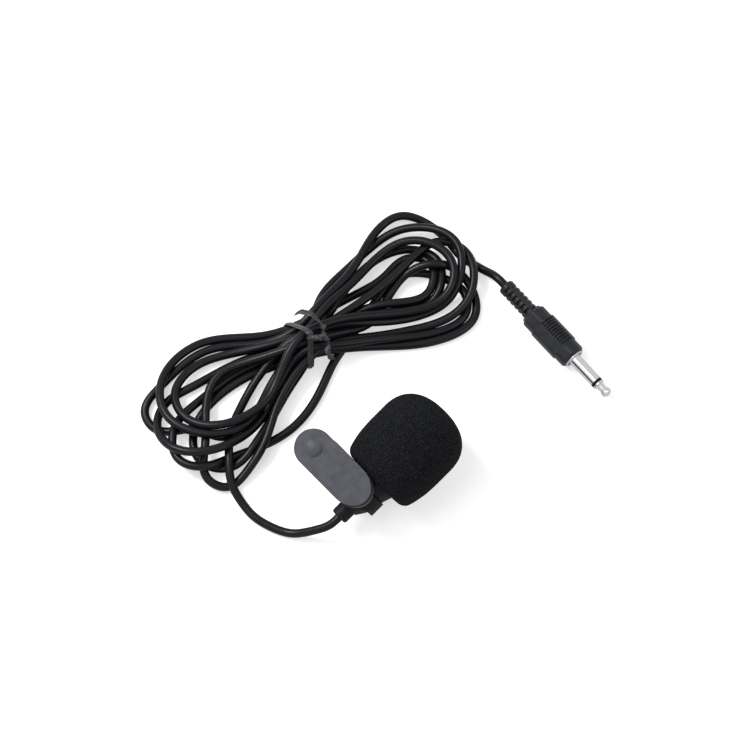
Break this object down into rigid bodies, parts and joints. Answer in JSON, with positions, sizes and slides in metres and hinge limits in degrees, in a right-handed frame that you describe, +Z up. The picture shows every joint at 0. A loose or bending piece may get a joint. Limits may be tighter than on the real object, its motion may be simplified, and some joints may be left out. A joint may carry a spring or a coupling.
{
  "type": "lavalier microphone",
  "caption": "Clip-on lavalier microphone with a foam windscreen, a swivelling spring clip, a hank of cable held by a twist tie and a moulded mono plug.",
  "frame": {"origin": "centre of the footprint of the microphone head and its clip, on the surface that everything lies on", "axes": "+X runs along the head's level heading, from the cable's exit to the windscreen's dome; +Y towards the hank of cable, the way the clip points; +Z up"},
  "size_m": [0.1058, 0.0949, 0.0277],
  "materials": {
    "foam": "open-cell acoustic foam, black",
    "housing": "fine matt, black",
    "grille_metal": "satin, perforated, black",
    "felt": "pressed felt",
    "seal_rubber": "moulded rubber",
    "can_metal": "drawn and polished",
    "film": "gold-coated film on a brass ring",
    "ivory_plastic": "moulded, natural",
    "contact_brass": "stamped",
    "board": "green solder mask",
    "chip": "epoxy",
    "solder": "bright solder",
    "wire_red": "insulation",
    "wire_copper": "twisted copper strands",
    "ring_black": "fine matt, black",
    "clip_grey": "fine matt, dark grey",
    "pin_steel": "ground",
    "spring_steel": "drawn wire",
    "cable_jacket": "semi-gloss jacket, black",
    "tie_plastic": "matt ribbon over a wire",
    "plug_black": "satin, black",
    "contact_chrome": "nickel plated",
    "insulator_black": "moulded, black"
  },
  "bodies": {
    "microphone": {"mic_body": "housing", "front_grille": "grille_metal", "dust_felt": "felt", "capsule_sleeve": "seal_rubber", "capsule_can": "can_metal", "capsule_diaphragm": "film", "capsule_spacer": "ivory_plastic", "capsule_back_plate": "contact_brass", "capsule_holder": "ivory_plastic", "capsule_board": "board", "capsule_transistor": "chip", "solder_joints": "solder", "signal_wire": "wire_red", "screen_wire": "wire_copper", "cable_clamp": "contact_brass", "tail_boot": "seal_rubber", "cord_mic_run": "cable_jacket", "cord_hank": "cable_jacket", "cord_plug_run": "cable_jacket", "twist_tie": "tie_plastic", "plug_shell": "plug_black", "plug_inner_mould": "ivory_plastic", "plug_sleeve": "contact_chrome", "plug_insulator": "insulator_black", "plug_tip": "contact_chrome", "plug_tip_lug": "contact_brass", "plug_sleeve_lug": "contact_brass", "plug_signal_wire": "wire_red", "plug_screen_wire": "wire_copper"},
    "clip": {"clip_ring": "ring_black", "clip_lower_jaw": "clip_grey", "clip_hinge_pin": "pin_steel", "clip_spring": "spring_steel"},
    "clip_lever": {"clip_upper_jaw": "clip_grey"},
    "foam": {"windscreen": "foam"}
  },
  "joints": [
    {"name": "clip_swivel", "type": "hinge", "parent": "microphone", "child": "clip", "pos_m": [-0.01175, -0.00374, 0.00933], "axis": [0.9703, 0, 0.2419], "continuous": true},
    {"name": "clip_press", "type": "hinge", "parent": "clip", "child": "clip_lever", "pos_m": [-0.01409, 0.00426, 0.01872], "axis": [-0.9703, 0, -0.2419], "range_deg": [0, 22], "stiffness_Nm_per_rad": 0.08, "springref_deg": -11.46, "deforming": ["clip_spring"]},
    {"name": "windscreen_pull", "type": "slide", "parent": "microphone", "child": "foam", "axis": [0.9703, 0, 0.2419], "range_m": [0, 0.018]}
  ]
}
